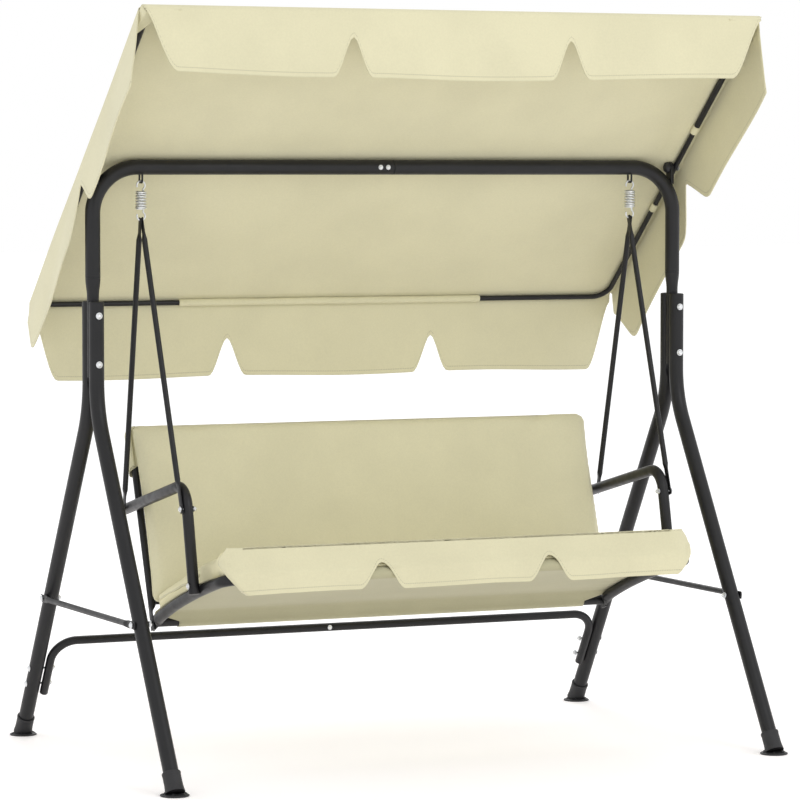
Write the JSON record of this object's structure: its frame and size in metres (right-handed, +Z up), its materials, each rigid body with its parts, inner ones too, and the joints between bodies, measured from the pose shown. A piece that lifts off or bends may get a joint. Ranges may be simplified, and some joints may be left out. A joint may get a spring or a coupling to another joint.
{
  "type": "glider swing",
  "caption": "Garden swing with a cushioned bench hung on coil springs between A-shaped tube legs, under a tilting fabric canopy.",
  "frame": {"origin": "on the floor, at the middle of the four feet", "axes": "+X along the seat towards the sitter's left hand, +Y from front to back, +Z up"},
  "size_m": [1.742, 1.1802, 1.8779],
  "materials": {
    "frame_tube": "satin black powder coat",
    "bolts": "zinc plated",
    "spring_steel": "zinc plated spring wire",
    "foot_plastic": "moulded, matt",
    "knob_plastic": "moulded, matt",
    "canopy_cloth": "woven polyester, cream",
    "seat_cloth": "woven polyester over soft padding, cream"
  },
  "bodies": {
    "frame": {"leg_rear_right": "frame_tube", "leg_rear_left": "frame_tube", "leg_front_right": "frame_tube", "leg_front_left": "frame_tube", "foot_rear_right": "foot_plastic", "foot_rear_left": "foot_plastic", "foot_front_right": "foot_plastic", "foot_front_left": "foot_plastic", "top_bar_right": "frame_tube", "top_bar_left": "frame_tube", "leg_bolt_upper_right": "bolts", "leg_bolt_upper_left": "bolts", "leg_bolt_lower_right": "bolts", "leg_bolt_lower_left": "bolts", "side_brace_right": "frame_tube", "side_brace_left": "frame_tube", "brace_bolt_front_right": "bolts", "brace_bolt_front_left": "bolts", "brace_bolt_rear_right": "bolts", "brace_bolt_rear_left": "bolts", "stretcher_right": "frame_tube", "stretcher_left": "frame_tube", "spring_bracket_right": "frame_tube", "spring_bracket_left": "frame_tube", "canopy_bracket_right": "frame_tube", "canopy_bracket_left": "frame_tube"},
    "spring_link": {"spring_right": "spring_steel", "spring_left": "spring_steel"},
    "seat": {"hanger_front_right": "frame_tube", "hanger_front_left": "frame_tube", "hanger_rear_right": "frame_tube", "hanger_rear_left": "frame_tube", "hanger_bolt_front_right": "bolts", "hanger_bolt_front_left": "bolts", "hanger_bolt_rear_right": "bolts", "hanger_bolt_rear_left": "bolts", "seat_side_right": "frame_tube", "seat_side_left": "frame_tube", "arm_right": "frame_tube", "arm_left": "frame_tube", "front_rail": "frame_tube", "rear_rail": "frame_tube", "back_frame": "frame_tube", "back_low_rail": "frame_tube", "seat_cushion": "seat_cloth", "seat_sling": "seat_cloth", "back_cushion": "seat_cloth", "front_flap": "seat_cloth"},
    "canopy": {"canopy_front_tube_right": "frame_tube", "canopy_front_tube_left": "frame_tube", "canopy_rear_tube_right": "frame_tube", "canopy_rear_tube_left": "frame_tube", "canopy_cloth": "canopy_cloth", "valance_front": "canopy_cloth", "valance_rear": "canopy_cloth", "valance_side_right": "canopy_cloth", "valance_side_left": "canopy_cloth"},
    "knob_right": {"canopy_knob_right": "knob_plastic"},
    "knob_left": {"canopy_knob_left": "knob_plastic"}
  },
  "joints": [
    {"name": "seat_swing", "type": "hinge", "parent": "frame", "child": "spring_link", "pos_m": [0, 0, 1.454], "axis": [1, 0, 0], "range_deg": [-15, 15]},
    {"name": "spring_stretch", "type": "slide", "parent": "spring_link", "child": "seat", "axis": [0, 0, 1], "range_m": [-0.025, 0], "stiffness_N_per_m": 24000, "springref_m": 0.012, "deforming": ["spring_right", "spring_left"]},
    {"name": "canopy_tilt", "type": "hinge", "parent": "frame", "child": "canopy", "pos_m": [0, 0, 1.49], "axis": [1, 0, 0], "range_deg": [0, 42]},
    {"name": "knob_turn_right", "type": "hinge", "parent": "frame", "child": "knob_right", "pos_m": [0.8, 0, 1.49], "axis": [1, 0, 0], "continuous": true},
    {"name": "knob_turn_left", "type": "hinge", "parent": "frame", "child": "knob_left", "pos_m": [-0.8, 0, 1.49], "axis": [1, 0, 0], "continuous": true}
  ]
}
